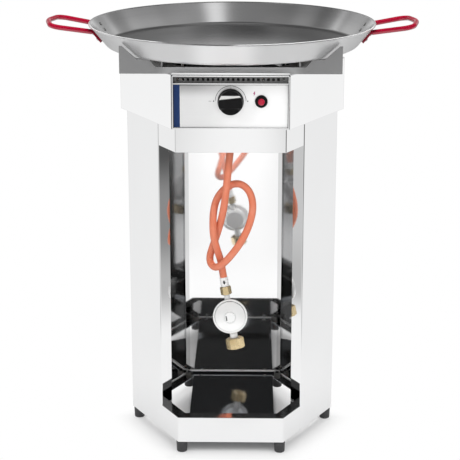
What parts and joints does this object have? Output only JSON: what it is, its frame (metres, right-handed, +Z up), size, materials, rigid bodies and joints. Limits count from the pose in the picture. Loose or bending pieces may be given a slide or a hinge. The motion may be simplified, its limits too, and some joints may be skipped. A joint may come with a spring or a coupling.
{
  "type": "gas paella burner",
  "caption": "Free-standing gas burner: hexagonal sheet-metal cabinet with a bottle space, a ring burner in a box with a tap and push igniter, and a lift-off paella pan on bars.",
  "frame": {"origin": "on the floor under the middle of the stand", "axes": "+Z up, the controls face -Y, +X to the right seen from the front"},
  "size_m": [0.7788, 0.6, 0.9023],
  "materials": {
    "polished_sheet": "polished stainless sheet",
    "control_frame_steel": "polished stainless sheet",
    "control_panel_steel": "fine brushed stainless sheet with a dark blue printed band",
    "pan_steel": "polished, turned steel",
    "handle_enamel": "gloss red enamel",
    "bar_steel": "cut plate, matt",
    "bracket_steel": "plain",
    "knob_plastic": "satin black",
    "pointer_metal": "bright",
    "button_plastic": "gloss red",
    "brass": "turned, slightly dulled",
    "copper_tube": "drawn tube",
    "ceramic": "glazed, off-white",
    "lead_sleeve": "silicone sleeve",
    "burner_iron": "matt cast iron",
    "burner_tube_steel": "pressed steel",
    "hose_rubber": "smooth orange rubber",
    "ferrule_metal": "zinc plated",
    "regulator_metal": "die-cast, satin",
    "foot_rubber": "matt"
  },
  "bodies": {
    "stand": {"side_panel_left": "polished_sheet", "side_panel_right": "polished_sheet", "base_front_panel": "polished_sheet", "front_lintel": "polished_sheet", "back_panel": "polished_sheet", "bottle_shelf": "polished_sheet", "burner_box_floor": "polished_sheet", "burner_box_wall": "polished_sheet", "burner_deck": "polished_sheet", "control_frame": "control_frame_steel", "control_panel": "control_panel_steel", "pan_bar_front": "bar_steel", "pan_bar_rear": "bar_steel", "pan_cross_bar_left": "bar_steel", "pan_cross_bar_right": "bar_steel", "burner_bracket_right": "bracket_steel", "burner_bracket_left": "bracket_steel", "probe_bracket": "bracket_steel", "flame_probe": "bracket_steel", "igniter_nut": "bracket_steel", "igniter_body": "knob_plastic", "valve_body": "brass", "injector": "brass", "hose_tail": "brass", "hose_nut": "brass", "probe_capillary": "copper_tube", "spark_electrode": "ceramic", "igniter_lead": "lead_sleeve", "ring_burner": "burner_iron", "mixing_tube": "burner_tube_steel", "gas_hose": "hose_rubber", "upper_ferrule": "ferrule_metal", "lower_ferrule": "ferrule_metal", "regulator_body": "regulator_metal", "regulator_cover": "regulator_metal", "foot_right": "foot_rubber", "foot_rear_right": "foot_rubber", "foot_rear_left": "foot_rubber", "foot_left": "foot_rubber", "foot_front_left": "foot_rubber", "foot_front_right": "foot_rubber"},
    "pan": {"paella_pan": "pan_steel", "pan_handle_right": "handle_enamel", "pan_handle_left": "handle_enamel"},
    "tap_plunger": {"valve_plunger": "bracket_steel"},
    "knob": {"valve_stem": "bracket_steel", "control_knob": "knob_plastic", "knob_pointer": "pointer_metal"},
    "igniter_cap": {"igniter_button": "button_plastic"},
    "bottle_nut": {"union_nut": "brass"}
  },
  "joints": [
    {"name": "pan_lift", "type": "slide", "parent": "stand", "child": "pan", "axis": [0, 0, 1], "range_m": [0, 0.2]},
    {"name": "knob_press", "type": "slide", "parent": "stand", "child": "tap_plunger", "axis": [0, 1, 0], "range_m": [0, 0.004], "stiffness_N_per_m": 900},
    {"name": "knob_turn", "type": "hinge", "parent": "tap_plunger", "child": "knob", "pos_m": [0, -0.2, 0.7675], "axis": [0, 1, 0], "range_deg": [0, 180]},
    {"name": "igniter_press", "type": "slide", "parent": "stand", "child": "igniter_cap", "axis": [0, 1, 0], "range_m": [0, 0.005], "stiffness_N_per_m": 700},
    {"name": "bottle_nut_turn", "type": "hinge", "parent": "stand", "child": "bottle_nut", "pos_m": [0.00737, -0.1776, 0.2575], "axis": [0.1741, -0.1393, -0.9748], "continuous": true}
  ]
}
